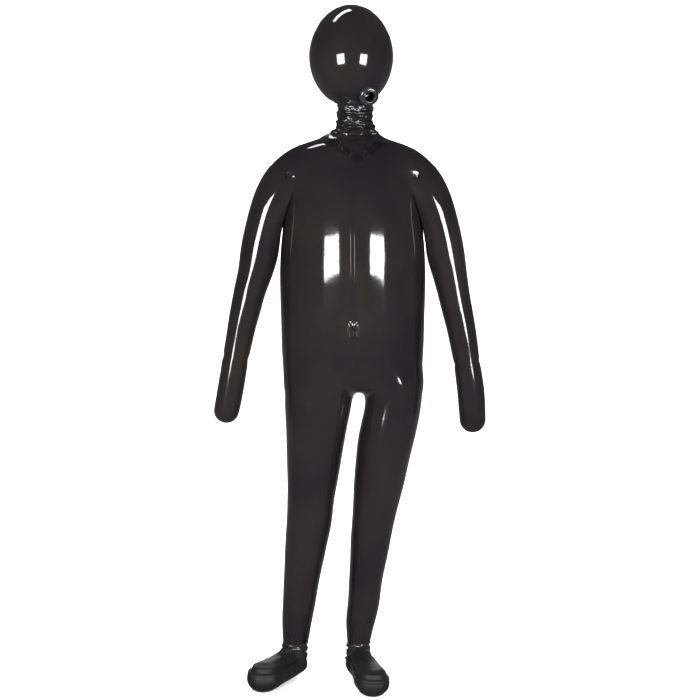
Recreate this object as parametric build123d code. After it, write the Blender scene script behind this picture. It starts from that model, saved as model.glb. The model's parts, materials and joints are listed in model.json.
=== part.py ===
from build123d import *
import os
from math import cos, pi, sqrt

os.makedirs("parts", exist_ok=True)

# Inflatable full-body display figure, standing, facing -Y, soles on Z = 0.
# Everything is in millimetres. "right" is the figure's own right, at -X.

# Film and seams
film = 1.2
tape = 0.8
tape_half = 7.0
mid_y = 40.0

# Trunk: height, half width, half depth of each level of the inflated barrel
trunk_x = 0.0
trunk_levels = [
    (756.0, 50.0, 34.0),
    (764.0, 108.0, 64.0),
    (782.0, 158.0, 88.0),
    (812.0, 178.0, 104.0),
    (865.0, 182.0, 115.0),
    (940.0, 184.0, 122.0),
    (1045.0, 187.0, 127.0),
    (1120.0, 184.0, 128.0),
    (1175.0, 174.0, 124.0),
    (1240.0, 169.0, 114.0),
    (1300.0, 171.0, 104.0),
    (1350.0, 172.0, 93.0),
    (1382.0, 162.0, 80.0),
    (1402.0, 136.0, 66.0),
    (1412.0, 96.0, 60.0),
]

# Legs: height, centre, half width, half depth, from the ankle up into the trunk
leg_cut_z = 90.0
leg_levels = {
    -1: [
        (78.0, -152.0, 32.0, 32.2),
        (106.0, -152.0, 32.0, 32.2),
        (150.0, -146.0, 38.5, 40.0),
        (256.0, -133.0, 46.5, 49.0),
        (364.0, -119.0, 55.0, 59.0),
        (470.0, -108.0, 61.0, 67.0),
        (578.0, -99.0, 71.0, 75.0),
        (684.0, -91.0, 81.0, 83.0),
        (732.0, -88.0, 88.0, 89.0),
        (770.0, -84.0, 89.0, 90.0),
        (810.0, -74.0, 84.0, 85.0),
        (840.0, -66.0, 66.0, 67.0),
    ],
    1: [
        (78.0, 16.0, 32.0, 32.2),
        (106.0, 16.0, 32.0, 32.2),
        (150.0, 21.5, 37.5, 40.0),
        (256.0, 35.0, 43.5, 49.0),
        (364.0, 48.0, 51.5, 59.0),
        (470.0, 63.0, 60.5, 67.0),
        (578.0, 78.0, 68.5, 75.0),
        (684.0, 98.0, 73.0, 83.0),
        (732.0, 107.0, 72.0, 89.0),
        (770.0, 102.0, 76.0, 90.0),
        (810.0, 84.0, 78.0, 85.0),
        (840.0, 72.0, 66.0, 67.0),
    ],
}
crotch_x = 18.0
crotch_z = 762.0

# Centre seam, as it wanders from the neck to the crotch: x, z
centre_line = [(-1.0, 1500.0), (0.0, 1170.0), (2.0, 940.0), (crotch_x, crotch_z)]
patch_x = 2.0
patch_z = 945.0
patch_radius = 15.0

# Arms: the sleeve swings about a ball-shaped shoulder set into the trunk
shoulder_x = 163.0
shoulder_z = 1302.0
shoulder_ball = 68.0
socket_gap = 1.5
socket_wall = 1.5
sleeve_mouth = 39.0
sleeve_mouth_lift = 20.0
sleeve_path = [
    (166.0, 1304.0, 56.0, 58.0),
    (198.0, 1276.0, 46.0, 51.0),
    (227.0, 1238.0, 39.0, 46.0),
    (236.0, 1196.0, 43.0, 48.0),
    (244.0, 1148.0, 45.0, 47.5),
    (253.0, 1096.0, 44.0, 45.5),
    (262.0, 1045.0, 41.0, 42.0),
    (273.0, 992.0, 38.5, 39.0),
    (286.0, 925.0, 35.5, 36.0),
    (293.0, 888.0, 34.0, 34.3),
]

# Wrists and mitts: x and z of the wrist, x and z of the mitt's end centre
hand_points = {-1: (-303.0, 850.0, -328.0, 708.0), 1: (297.0, 836.0, 314.0, 684.0)}
wrist_radius = 33.0
wrist_ball = 31.0
wrist_gap_up = 8.0
wrist_gap_down = 10.0
mitt_radius = 32.7
mitt_end_radius = 32.0

# Neck: crumpled rings nested about one centre, from the trunk's collar outwards
neck_x = 2.0
neck_z = 1443.0
neck_wall = 2.0
collar_ball = 39.0
lower_ball = 42.0
middle_ball = 45.0
cuff_ball = 48.5
collar_flange = 57.0

# Head
head_x = -3.0
head_z = 1620.0
head_radius = 107.5
head_half_height = 129.2

# Air port, low on the front of the head, towards the figure's left
port_x = 40.0
port_y = -22.0
port_z = 1518.0
port_direction = (0.25, -0.92, -0.30)
port_bore = 12.5
port_outer = 15.5
port_flange = 25.0
port_out = 14.0
port_in = 20.0
flap_radius = 14.5
flap_thickness = 1.5

# Feet: limp socks on thin soles
ankle_z = 72.0
ankle_ball = 30.5
ankle_x = {-1: -152.0, 1: 16.0}
ankle_cup = 32.5
foot_heel = {-1: (-126.0, 36.0), 1: (9.0, 36.0)}
foot_turn = {-1: -123.0, 1: -77.4}
foot_length = 242.0
foot_heel_radius = 35.0
foot_toe_radius = 46.0
foot_steps = 18
foot_squash = 0.70
foot_mid_z = 27.0
sole_thickness = 3.0
sole_inset = 7.0

side_names = {-1: "right", 1: "left"}


def save(node, shape):
    export_step(shape, f"parts/{node}.step")


def block(x0, x1, y0, y1, z0, z1):
    centre = Pos((x0 + x1) / 2, (y0 + y1) / 2, (z0 + z1) / 2)
    return centre * Box(x1 - x0, y1 - y0, z1 - z0)


def prism(points, y0, y1):
    outline = Polyline(*[(x, y0, z) for x, z in points], close=True)
    return extrude(make_face(outline), amount=y1 - y0, dir=(0, 1, 0))


def tube(radius, bottom, top):
    return Pos(0, 0, (bottom + top) / 2) * Cylinder(radius, top - bottom)


def largest(shape):
    return max(shape.solids(), key=lambda solid: solid.volume)


# Halves and bands used to divide the film
front = block(-500, 500, -400, mid_y, -10, 1900)
back = block(-500, 500, mid_y, 400, -10, 1900)
side_band = block(-500, 500, mid_y - tape_half, mid_y + tape_half, -10, 1900)


def leg_solid(side, grow):
    levels = leg_levels[side]
    rings = [Pos(x, mid_y, z) * Ellipse(w + grow, d + grow) for z, x, w, d in levels]
    return loft(rings, ruled=True)


def barrel_solid(grow):
    # The barrel's flat ends move with the film as well as its sides.
    last = len(trunk_levels) - 1
    lift = {0: -grow, last: grow}
    rings = []
    for index, (z, w, d) in enumerate(trunk_levels):
        centre = Pos(trunk_x, mid_y, z + lift.get(index, 0.0))
        rings.append(centre * Ellipse(w + grow, d + grow))
    return loft(rings, ruled=True)


def trunk_solid(grow):
    return barrel_solid(grow) + leg_solid(-1, grow) + leg_solid(1, grow)


barrel_outer = barrel_solid(0.0)
trunk_outer = trunk_solid(0.0)
trunk_inner = trunk_solid(-film)
trunk_taped = trunk_solid(tape)

neck_place = Pos(neck_x, mid_y, neck_z)
shoulders = {side: Pos(side * shoulder_x, mid_y, shoulder_z) for side in (-1, 1)}
socket_outer = shoulder_ball + socket_gap + socket_wall

# Space kept clear of the trunk's film: shoulder sockets, neck opening, open ankles
clear = block(-300, 300, -400, 400, 0, leg_cut_z)
clear += neck_place * tube(25.0, -60.0, 0.0)
for side in (-1, 1):
    clear += shoulders[side] * Sphere(socket_outer)

# Trunk film in four panels, each running from a shoulder to an ankle. The panels part
# along the centre seam and, below the crotch, along the gap between the legs.
trunk_film = trunk_outer - trunk_inner - clear
gap_line = [(crotch_x, crotch_z), (8.0, 684.0), (-22.0, 470.0), (-47.0, 256.0), (-68.0, 0.0)]
right_side = prism(centre_line[:-1] + gap_line + [(-500.0, 0.0), (-500.0, 1500.0)], -400, 400)
left_side = prism(centre_line[:-1] + gap_line + [(500.0, 0.0), (500.0, 1500.0)], -400, 400)
sides = {-1: right_side, 1: left_side}
for side in (-1, 1):
    name = side_names[side]
    half = trunk_film & sides[side]
    save(f"front_{name}_panel", largest(half & front))
    save(f"back_{name}_panel", largest(half & back))

# Seam tapes bonded over the joins of the trunk panels
trunk_tape = trunk_taped - trunk_outer - clear
trunk_tape -= neck_place * tube(collar_flange + 1.0, -60.0, 60.0)
patch_hole = Pos(patch_x, -60, patch_z) * Rot(90, 0, 0) * Cylinder(patch_radius, 160)
band_right = [(x - tape_half, z) for x, z in centre_line] + [(crotch_x - tape_half, 745.0)]
band_left = [(x + tape_half, z) for x, z in centre_line] + [(crotch_x + tape_half, 745.0)]
centre_band = prism(band_right + band_left[::-1], -400, 400)
centre_tape = trunk_tape & centre_band
front_tape = (centre_tape & front) - patch_hole
upper_zone = block(-500, 500, -400, 400, patch_z, 1900)
save("upper_front_seam", largest(front_tape & upper_zone))
save("lower_front_seam", largest(front_tape - upper_zone))
save("centre_back_seam", largest(centre_tape & back))
save("lower_seam_patch", largest(trunk_tape & patch_hole))

side_tape = (trunk_tape & side_band) - centre_band
for side in (-1, 1):
    name = side_names[side]
    axis = [(x, z) for z, x, w, d in leg_levels[side]]
    far = side * 500.0
    top = axis[-1][1]
    outside = prism([(far, 0.0), (axis[0][0], 0.0)] + axis + [(far, top)], -400, 400)
    beside = block(min(far, 0), max(far, 0), -400, 400, 780, shoulder_z)
    above = block(min(far, 0), max(far, 0), -400, 400, shoulder_z, 1500)
    under = block(-500, 500, -400, 400, 0, 775)
    save(f"{name}_side_seam", largest(side_tape & (outside + beside)))
    save(f"{name}_shoulder_seam", largest(side_tape & above))
    save(f"{name}_inseam", largest((side_tape & under & sides[side]) - outside))

# Armhole rings: spherical bands that hold the sleeves' balls inside the trunk
ring_mouth = Rot(0, -(90 + sleeve_mouth_lift), 0) * tube(sleeve_mouth + 8.0, -100.0, 0.0)
ring = Sphere(socket_outer) - Sphere(shoulder_ball + socket_gap) - ring_mouth
right_ring = largest(barrel_outer & (shoulders[-1] * ring))
save("right_armhole_ring", right_ring)
save("left_armhole_ring", mirror(right_ring, about=Plane.YZ))


def belt(ball, wall, bottom, top):
    return (Sphere(ball) - Sphere(ball - wall)) & tube(ball + 5, bottom, top)


# Neck: collar on the trunk, two loose crumpled rings, and the head's own cuff
collar_base = trunk_levels[-1][0] - neck_z
collar = belt(collar_ball, neck_wall, collar_base, 24.0)
collar += tube(collar_flange, collar_base, collar_base + film)
collar -= tube(22.0, collar_base - 1, collar_base + 5)
save("neck_collar", neck_place * collar)
save("neck_fold_lower", neck_place * belt(lower_ball, neck_wall, -23.0, 21.0))
save("neck_fold_middle", neck_place * belt(middle_ball, neck_wall, -19.0, 18.0))

# Head: an egg-shaped balloon in a front and a back panel
def head_solid(grow):
    width = head_radius + grow
    stretch = (head_half_height + grow) / width
    return Pos(head_x, mid_y, head_z) * scale(Sphere(width), by=(1, 1, stretch))


head_outer = head_solid(0.0)
head_hollow = head_solid(-film)
head_taped = head_solid(tape)
cuff_top = 66.0
neck_column = neck_place * tube(cuff_ball, -60.0, 100.0)
port_plane = Plane(origin=(port_x, port_y, port_z), z_dir=port_direction)
port_hole = port_plane * tube(port_outer, -60.0, 60.0)
head_film = head_outer - head_hollow - neck_column - port_hole
save("head_front_panel", largest(head_film & front))
save("head_back_panel", largest(head_film & back))
head_tape = (head_taped - head_outer) & side_band
save("head_seam", largest(head_tape - neck_column))

cuff = tube(cuff_ball, 0.0, cuff_top) - tube(cuff_ball - neck_wall, -1.0, cuff_top + 1)
cuff += belt(cuff_ball, neck_wall, -16.0, 0.0)
save("head_neck_cuff", neck_place * cuff)

# Air port: a flange that follows the head, a short tube and a non-return flap
flange_zone = port_plane * (tube(port_flange, -40.0, 60.0) - tube(port_outer, -60.0, 70.0))
flange = (head_solid(2.4) - head_outer) & flange_zone
save("port_flange", largest(flange - neck_column))
barrel = tube(port_outer, -port_in, port_out) - tube(port_bore, -port_in - 1, port_out + 1)
lip = Pos(0, 0, port_out - 2.5) * Torus(port_outer, 2.5)
barrel += lip - tube(port_bore, 0, 40)
save("port_tube", port_plane * barrel)
flap_face = -port_in - 0.4
save("port_flap", port_plane * tube(flap_radius, flap_face - flap_thickness, flap_face))


def path_planes(points, side):
    """A plane square to the sleeve's path at each of its points."""
    planes = []
    for index, (x, z) in enumerate(points):
        x0, z0 = points[max(index - 1, 0)]
        x1, z1 = points[min(index + 1, len(points) - 1)]
        along = (side * (x1 - x0), 0, z1 - z0)
        planes.append(Plane(origin=(side * x, mid_y, z), x_dir=(0, 1, 0), z_dir=along))
    return planes


def sleeve_solid(side, grow):
    wrist_x, wrist_z = side * hand_points[side][0], hand_points[side][1]
    points = [(x, z) for x, z, r, d in sleeve_path] + [(wrist_x, wrist_z)]
    radii = [(d + grow, r + grow) for x, z, r, d in sleeve_path]
    radii.append((wrist_radius + 0.1 + grow, wrist_radius + grow))
    rings = [place * Ellipse(*r) for place, r in zip(path_planes(points, side), radii)]
    return loft(rings, ruled=True) + shoulders[side] * Sphere(shoulder_ball + grow)


def hinge_ring(ball, bottom, top, skirt, skirt_top):
    """A ball-shaped belt with a skirt above it that is bonded inside a film tube."""
    outer = (Sphere(ball) & tube(ball + 5, bottom, top)) + tube(skirt, top - 1.5, skirt_top)
    inner = Sphere(ball - 1.5) + tube(skirt - 1.5, top, skirt_top + 1)
    return outer - inner


def foot_outline(grow):
    """One edge of the foot seen from above: distance from the heel, half width."""
    points = []
    for step in range(foot_steps + 1):
        share = (1 - cos(pi * step / foot_steps)) / 2
        radius = foot_heel_radius + share * (foot_toe_radius - foot_heel_radius)
        roundness = sqrt(max(0.0, 1 - (2 * share - 1) ** 4))
        along = share * (foot_length + 2 * grow) - grow
        points.append((along, (radius + grow) * roundness))
    return points


for side in (-1, 1):
    name = side_names[side]
    wrist_x, wrist_z, end_x, end_z = hand_points[side]
    upper_x, upper_z = side * sleeve_path[-1][0], sleeve_path[-1][1]
    up_arm = (upper_x - wrist_x, 0, upper_z - wrist_z)
    wrist = Plane(origin=(wrist_x, mid_y, wrist_z), x_dir=(0, 1, 0), z_dir=up_arm)

    # Sleeve: open into the trunk at the shoulder and cut square above the wrist
    mouth = Rot(0, side * (90 + sleeve_mouth_lift), 0) * tube(sleeve_mouth, -100.0, 0.0)
    sleeve_clear = wrist * tube(80.0, -60.0, wrist_gap_up) + shoulders[side] * mouth
    sleeve_outer = sleeve_solid(side, 0.0)
    sleeve_film = sleeve_outer - sleeve_solid(side, -film) - sleeve_clear
    save(f"{name}_sleeve_front", largest(sleeve_film & front))
    save(f"{name}_sleeve_back", largest(sleeve_film & back))

    # Tapes along the outside and the inside of the sleeve
    near_ball = shoulders[side] * Sphere(shoulder_ball + 2.5)
    sleeve_tape = (sleeve_solid(side, tape) - sleeve_outer) & side_band
    sleeve_tape -= sleeve_clear + near_ball
    middle = [(side * x, z) for x, z, r, d in sleeve_path] + [(wrist_x, wrist_z)]
    far = side * 520.0
    outer_zone = prism(middle + [(far, wrist_z), (far, shoulder_z)], -400, 400)
    save(f"{name}_sleeve_outer_seam", largest(sleeve_tape & outer_zone))
    save(f"{name}_sleeve_inner_seam", largest(sleeve_tape - outer_zone))
    band = hinge_ring(wrist_ball, -24.0, wrist_gap_up, wrist_radius - film, 26.0)
    save(f"{name}_wrist_band", wrist * band)

    # Mitt: a plain rounded tube with a seam around its edge
    down_hand = (end_x - wrist_x, 0, end_z - wrist_z)
    hand = Plane(origin=(wrist_x, mid_y, wrist_z), x_dir=(0, 1, 0), z_dir=down_hand)
    length = Vector(*down_hand).length

    def mitt_solid(grow):
        stations = [
            (0.0, mitt_radius),
            (length / 2, mitt_radius),
            (length, mitt_end_radius),
        ]
        rings = [hand * Pos(0, 0, s) * Circle(r + grow) for s, r in stations]
        tip = hand * Pos(0, 0, length) * Sphere(mitt_end_radius + grow)
        return loft(rings, ruled=True) + tip

    mitt_clear = hand * tube(80.0, -60.0, wrist_gap_down)
    mitt_outer = mitt_solid(0.0)
    mitt_film = mitt_outer - mitt_solid(-film) - mitt_clear
    save(f"{name}_mitt_front", largest(mitt_film & front))
    save(f"{name}_mitt_back", largest(mitt_film & back))
    mitt_tape = (mitt_solid(tape) - mitt_outer) & side_band
    save(f"{name}_mitt_seam", largest(mitt_tape - mitt_clear))

    # Ankle: a belt on the leg turning in a cup on the foot
    ankle = Pos(ankle_x[side], mid_y, ankle_z)
    leg_end = leg_cut_z - ankle_z
    cuff_ring = hinge_ring(ankle_ball, -14.0, 16.0, 32.0 - film, leg_end + 12.0)
    save(f"{name}_ankle_cuff", ankle * cuff_ring)
    cup = (Sphere(ankle_cup) - Sphere(ankle_cup - 1.5)) & tube(40.0, -40.0, 5.0)
    save(f"{name}_ankle_cup", ankle * (cup - tube(12.0, -40.0, 0.0)))

    # Foot: a soft sock closed by a thin flat sole, a little inside the sock's edge
    heel_x, heel_y = foot_heel[side]
    heel = Pos(heel_x, mid_y + heel_y, 0) * Rot(0, 0, foot_turn[side])

    def foot_solid(grow):
        profile = make_face(Polyline(*foot_outline(grow), close=True))
        sock = scale(revolve(profile, Axis.X), by=(1, 1, foot_squash))
        return (heel * Pos(0, 0, foot_mid_z) * sock) & block(-500, 500, -500, 500, 0, 200)

    floor_part = block(-500, 500, -500, 500, -1, sole_thickness)
    foot_film = foot_solid(0.0) - foot_solid(-film) - floor_part - ankle * Sphere(ankle_cup)
    save(f"{name}_foot_upper", largest(foot_film))
    edge = [(along, w - sole_inset) for along, w in foot_outline(0.0) if w > sole_inset]
    rim = make_face(Polyline(*edge, *[(along, -w) for along, w in edge[::-1]], close=True))
    save(f"{name}_sole", heel * extrude(rim, amount=sole_thickness, dir=(0, 0, 1)))
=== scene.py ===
import json
import math

import bmesh
import bpy
import numpy as np
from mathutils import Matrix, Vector

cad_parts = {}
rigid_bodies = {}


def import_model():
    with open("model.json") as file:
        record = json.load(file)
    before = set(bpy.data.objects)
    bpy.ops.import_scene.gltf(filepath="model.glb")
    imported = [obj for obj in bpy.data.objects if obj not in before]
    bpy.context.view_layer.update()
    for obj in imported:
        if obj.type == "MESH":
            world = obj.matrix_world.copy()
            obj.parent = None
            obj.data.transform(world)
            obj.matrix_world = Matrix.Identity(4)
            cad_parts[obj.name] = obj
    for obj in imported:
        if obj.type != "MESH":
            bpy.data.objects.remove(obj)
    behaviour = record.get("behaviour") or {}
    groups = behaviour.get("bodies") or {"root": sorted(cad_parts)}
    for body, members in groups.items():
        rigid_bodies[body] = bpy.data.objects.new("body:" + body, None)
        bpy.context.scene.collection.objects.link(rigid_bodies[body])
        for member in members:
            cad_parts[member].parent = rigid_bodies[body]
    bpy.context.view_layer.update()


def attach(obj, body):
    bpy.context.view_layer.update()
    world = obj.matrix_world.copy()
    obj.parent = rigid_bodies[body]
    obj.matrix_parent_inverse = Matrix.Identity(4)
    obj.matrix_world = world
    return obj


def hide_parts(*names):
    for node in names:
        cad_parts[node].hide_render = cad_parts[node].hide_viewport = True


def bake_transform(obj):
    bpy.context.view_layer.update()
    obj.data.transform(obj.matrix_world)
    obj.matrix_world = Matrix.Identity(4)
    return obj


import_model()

MM = 0.001
MID_Y = 40.0
BODY_VOXEL = 0.0065

# ---------------------------------------------------------------- shapes (mm)
# Trunk and neck root: height, half width, half depth
TRUNK = [
    (740, 168, 96), (770, 177, 101), (812, 180, 106), (865, 183, 110.5), (940, 185, 118),
    (1045, 187.5, 126), (1110, 186, 128), (1175, 181, 124), (1240, 176, 115),
    (1300, 172, 104), (1345, 166, 92), (1375, 153, 80), (1396, 126, 69), (1410, 92, 60),
    (1424, 66, 53), (1442, 52, 48), (1462, 47, 46), (1500, 47, 46),
]
TRUNK_BOTTOM = 762.0
THROAT_DEPTH = 19.0
# Legs: height, centre, half width, half depth
LEGS = {
    "right": [
        (60, -154, 33, 34), (95, -150, 34, 35), (148, -146, 39, 41), (200, -140, 43, 45),
        (256, -134, 46.5, 50), (310, -127, 51, 55), (364, -120, 55.5, 59),
        (417, -113, 59, 63), (470, -109, 61, 67), (524, -104, 65.5, 72),
        (578, -100, 70.5, 77), (631, -96, 75.5, 81), (684, -92, 81.5, 83),
        (736, -88, 87, 83.5), (790, -84, 87, 81.5), (850, -80, 82, 75),
        (920, -78, 68, 68), (990, -76, 52, 50),
    ],
    "left": [
        (60, 15, 31, 33), (95, 17, 31, 34), (148, 22, 38, 41), (200, 30, 41.5, 45),
        (256, 35, 43.5, 50), (310, 42, 47.5, 54), (364, 48, 52, 59),
        (417, 55, 55.5, 62), (470, 63, 60.5, 66), (524, 71, 66, 71),
        (578, 79, 69.5, 76), (631, 88, 73, 79.5), (684, 99, 73.5, 81),
        (736, 107, 73, 81), (790, 104, 77, 79), (850, 94, 76, 72),
        (920, 88, 66, 68), (990, 84, 52, 50),
    ],
}
LEG_TOP = 960.0
# Arms: distance out from the centre, height, radius across, radius in depth
UPPER_ARM = [
    (105, 1338, 58, 46), (140, 1322, 62, 51), (172, 1292, 62, 57), (198, 1254, 57, 58),
    (216, 1215, 51.5, 56), (230, 1165, 50, 52), (241, 1115, 48.5, 49), (251, 1070, 44.5, 45.5),
]
LOWER_ARM = {
    "left": [
        (261, 1022, 41, 42), (271, 976, 39, 39.5), (281, 931, 37, 37.5), (289, 888, 35.5, 36),
        (296, 846, 34, 34.5), (303, 802, 34.5, 34), (309, 757, 35, 33.5), (312, 718, 34.5, 32.5),
        (314, 686, 33.5, 32),
    ],
    "right": [
        (263, 1030, 41, 42), (274, 985, 39, 39.5), (285, 938, 36.5, 37), (294, 893, 34.5, 35),
        (303, 848, 33.5, 34), (311, 800, 33.5, 33.5), (319, 755, 33.5, 33), (325, 724, 33, 32.5),
        (328, 710, 32.5, 32),
    ],
}
SIGN = {"left": 1.0, "right": -1.0}
ARM_CLEARANCE = 1.5
ARM_SAMPLES = 260


def natural_spline(knots, values, at):
    """A smooth curve through the values, flat beyond its ends."""
    x = np.asarray(knots, float)
    y = np.asarray(values, float)
    n = len(x)
    h = np.diff(x)
    a = np.zeros((n, n))
    b = np.zeros(n)
    a[0, 0] = a[-1, -1] = 1
    for i in range(1, n - 1):
        a[i, i - 1] = h[i - 1]
        a[i, i] = 2 * (h[i - 1] + h[i])
        a[i, i + 1] = h[i]
        b[i] = 3 * ((y[i + 1] - y[i]) / h[i] - (y[i] - y[i - 1]) / h[i - 1])
    c = np.linalg.solve(a, b)
    at = np.clip(at, x[0], x[-1])
    i = np.clip(np.searchsorted(x, at) - 1, 0, n - 2)
    t = at - x[i]
    slope = (y[i + 1] - y[i]) / h[i] - h[i] * (2 * c[i] + c[i + 1]) / 3
    return y[i] + slope * t + c[i] * t**2 + (c[i + 1] - c[i]) / (3 * h[i]) * t**3


def smooth_min(a, b, k):
    """The smaller of two distances, rounded over k mm where they cross."""
    t = np.clip(0.5 + 0.5 * (b - a) / k, 0, 1)
    return b + (a - b) * t - k * t * (1 - t)


def smooth_max(a, b, k):
    """The larger of two distances, rounded over k mm where they cross."""
    return -smooth_min(-a, -b, k)


def smooth_step(x, low, high):
    """0 below low, 1 above high, and a soft slope between."""
    t = np.clip((x - low) / (high - low), 0, 1)
    return t * t * (3 - 2 * t)


def ellipse_distance(dx, dy, rx, ry):
    """Nearly the distance to an ellipse, negative inside it."""
    q = np.sqrt(dx * dx + dy * dy) + 1e-9
    k = np.sqrt((dx / rx) ** 2 + (dy / ry) ** 2) + 1e-9
    return q * (1 - 1 / k)


def lens_distance(dx, dy, w, d, ridge=24.0):
    """Two front-to-back arcs that meet in a softened ridge at each side seam."""
    reach = np.sqrt(d * d + ridge * ridge)
    back = (w * w + ridge * ridge - reach * reach) / (2 * (reach - ridge))
    radius = reach + back
    return np.sqrt(dx * dx + (np.sqrt(dy * dy + ridge * ridge) + back) ** 2) - radius


TRUNK_T = np.array(TRUNK, float)
LEG_T = {side: np.array(rows, float) for side, rows in LEGS.items()}


def trunk_field(p):
    """Distance to the trunk and neck root, with the throat's hollow."""
    z = p[:, 2]
    w = natural_spline(TRUNK_T[:, 0], TRUNK_T[:, 1], z)
    d = natural_spline(TRUNK_T[:, 0], TRUNK_T[:, 2], z)
    dx, dy = p[:, 0] - 1.0, p[:, 1] - MID_Y
    side = ellipse_distance(dx, dy, w, d)
    lens = 0.85 * smooth_step(z, 740, 1060) * (1 - smooth_step(z, 1250, 1380))
    side = side + lens * (lens_distance(dx, dy, w, d) - side) + throat_dent(p)
    return smooth_max(side, TRUNK_BOTTOM - z, 60.0)


def throat_dent(p):
    """Depth of the V-shaped hollow below the front of the neck."""
    x, z = p[:, 0], p[:, 2]
    left = (x + 82) * 0.487 + (z - 1404) * 0.874
    right = (22 - x) * 0.645 + (z - 1346) * 0.764
    inside = smooth_step(smooth_min(left, right, 14.0), -5, 22)
    front = smooth_step(MID_Y - p[:, 1], 8, 34)
    return THROAT_DEPTH * inside * front * (1 - smooth_step(z, 1418, 1444))


def leg_field(p, side):
    """Distance to one leg, up to where it runs into the trunk."""
    z = p[:, 2]
    t = LEG_T[side]
    cx = natural_spline(t[:, 0], t[:, 1], z)
    w = natural_spline(t[:, 0], t[:, 2], z)
    d = natural_spline(t[:, 0], t[:, 3], z)
    tube = ellipse_distance(p[:, 0] - cx, p[:, 1] - MID_Y, w, d)
    return smooth_max(tube, z - LEG_TOP, 30.0)


class Arm:
    """The arm's centre line as a dense smooth curve with its two radii."""

    def __init__(self, side):
        """Samples the side's upper and lower arm evenly along its length."""
        rows = np.array(UPPER_ARM + LOWER_ARM[side], float)
        rows[:, 0] *= SIGN[side]
        steps = np.hypot(np.diff(rows[:, 0]), np.diff(rows[:, 1]))
        s = np.concatenate([[0], np.cumsum(steps)])
        self.length = s[-1]
        self.s = np.linspace(0, s[-1], ARM_SAMPLES)
        self.line = np.stack([natural_spline(s, rows[:, k], self.s) for k in (0, 1)], 1)
        self.r = natural_spline(s, rows[:, 2], self.s)
        self.d = natural_spline(s, rows[:, 3], self.s)

    def place(self, s):
        """The point on the centre line at a distance along the arm."""
        return np.array([np.interp(s, self.s, self.line[:, k]) for k in (0, 1)])

    def nearest(self, p):
        """The sample next to each point, the share along it, and the place on the line."""
        q = p[:, [0, 2]]
        best = np.empty(len(q), int)
        for i in range(0, len(q), 20000):
            part = q[i : i + 20000]
            gap = ((part[:, None, :] - self.line[None]) ** 2).sum(2)
            best[i : i + 20000] = gap.argmin(1)
        i = np.clip(best, 1, len(self.s) - 2)
        a, b = self.line[i - 1], self.line[i + 1]
        t = ((q - a) * (b - a)).sum(1) / ((b - a) ** 2).sum(1)
        t = np.clip(t, 0, 1)
        return i, t, a + (b - a) * t[:, None]

    def field(self, p):
        """Distance to the arm's tube."""
        i, t, c = self.nearest(p)
        r = self.r[i - 1] + (self.r[i + 1] - self.r[i - 1]) * t
        d = self.d[i - 1] + (self.d[i + 1] - self.d[i - 1]) * t
        across = np.hypot(p[:, 0] - c[:, 0], p[:, 2] - c[:, 1])
        return ellipse_distance(across, p[:, 1] - MID_Y, r, d)

    def along(self, p):
        """How far along the arm each point lies."""
        i, t, _ = self.nearest(p)
        return self.s[i - 1] + (self.s[i + 1] - self.s[i - 1]) * t


ARMS = {side: Arm(side) for side in ("right", "left")}


def body_field(p):
    """Trunk and legs as one inflated form."""
    legs = smooth_min(leg_field(p, "right"), leg_field(p, "left"), 6.0)
    k = 30.0 - 18.0 * smooth_step(p[:, 2], 760, 830)
    return smooth_min(trunk_field(p), legs, k)


def shoulder_share(p):
    """0 below the armpit, where the arm lies apart, and 1 above it, where it merges."""
    return smooth_step(p[:, 2], 1236.0, 1352.0)


def joined(body, arm, p):
    """Body and arm run together with a fillet that widens towards the top."""
    k = 16.0 + 22.0 * smooth_step(p[:, 2], 1240.0, 1370.0)
    return smooth_min(body, arm, k)


def trunk_side_field(p):
    """The body's form as its own panels show it, with the start of both shoulders."""
    body = body_field(p)
    share = shoulder_share(p)
    out = body
    for arm in ARMS.values():
        out = out + share * (joined(out, arm.field(p), p) - out)
    return out


def sleeve_field(side):
    """The form of one sleeve and mitt, kept clear of the body below the armpit."""
    arm = ARMS[side]

    def field(p):
        body = body_field(p)
        tube = arm.field(p)
        flat = smooth_max(tube, ARM_CLEARANCE - body, 9.0)
        return flat + shoulder_share(p) * (joined(body, tube, p) - flat)

    return field


def gradient(field, p, step=0.4):
    """The field's slope at each point."""
    g = np.empty_like(p)
    for axis in range(3):
        d = np.zeros(3)
        d[axis] = step
        g[:, axis] = (field(p + d) - field(p - d)) / (2 * step)
    return g


def onto(field, p, rounds=4):
    """Moves points onto the field's zero surface and returns them with their normals."""
    p = p.copy()
    for _ in range(rounds):
        g = gradient(field, p)
        f = field(p)
        move = -(f / np.maximum((g * g).sum(1), 0.05))[:, None] * g
        size = np.linalg.norm(move, axis=1, keepdims=True)
        move *= np.minimum(1, 12.0 / np.maximum(size, 1e-9))
        p += move
    g = gradient(field, p)
    return p, g / np.maximum(np.linalg.norm(g, axis=1, keepdims=True), 1e-9)


# ---------------------------------------------------------------- mesh helpers
def points_of(mesh):
    """A mesh's points as an array."""
    co = np.empty(len(mesh.vertices) * 3)
    mesh.vertices.foreach_get("co", co)
    return co.reshape(-1, 3)


def facing(verts, faces, normals):
    """The same faces, each wound so that it looks the way its points' normals do."""
    out = []
    for f in faces:
        f = [int(i) for i in f]
        a, b, c = verts[f[0]], verts[f[1]], verts[f[2]]
        d = verts[f[-1]]
        flat = np.cross(b - a, c - a) + np.cross(c - a, d - a)
        out.append(f if flat @ normals[f].sum(0) >= 0 else f[::-1])
    return out


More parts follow.
